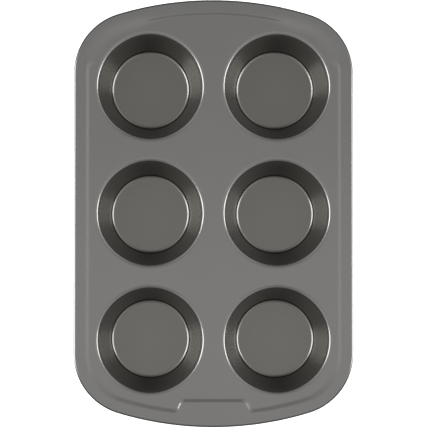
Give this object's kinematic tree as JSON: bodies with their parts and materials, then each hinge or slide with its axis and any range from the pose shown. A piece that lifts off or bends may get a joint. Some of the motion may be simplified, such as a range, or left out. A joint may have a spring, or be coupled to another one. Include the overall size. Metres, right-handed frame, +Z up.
{
  "type": "muffin pan",
  "caption": "Coated steel muffin pan: a flat deck inside a raised border with a rolled edge carries tapered round cups for baking muffins and cupcakes.",
  "frame": {"origin": "under the middle of the pan, on the surface that the cups stand on", "axes": "+X across the pan, +Y along it away from the end with the plain pad, +Z up out of the cups"},
  "size_m": [0.181, 0.2764, 0.032],
  "materials": {
    "coating": "satin dark grey non-stick coating",
    "wire": "plain drawn steel wire"
  },
  "bodies": {
    "root": {"deck": "coating", "rim_wire": "wire", "cup_front_left": "coating", "cup_front_right": "coating", "cup_middle_left": "coating", "cup_middle_right": "coating", "cup_back_left": "coating", "cup_back_right": "coating"}
  },
  "joints": []
}
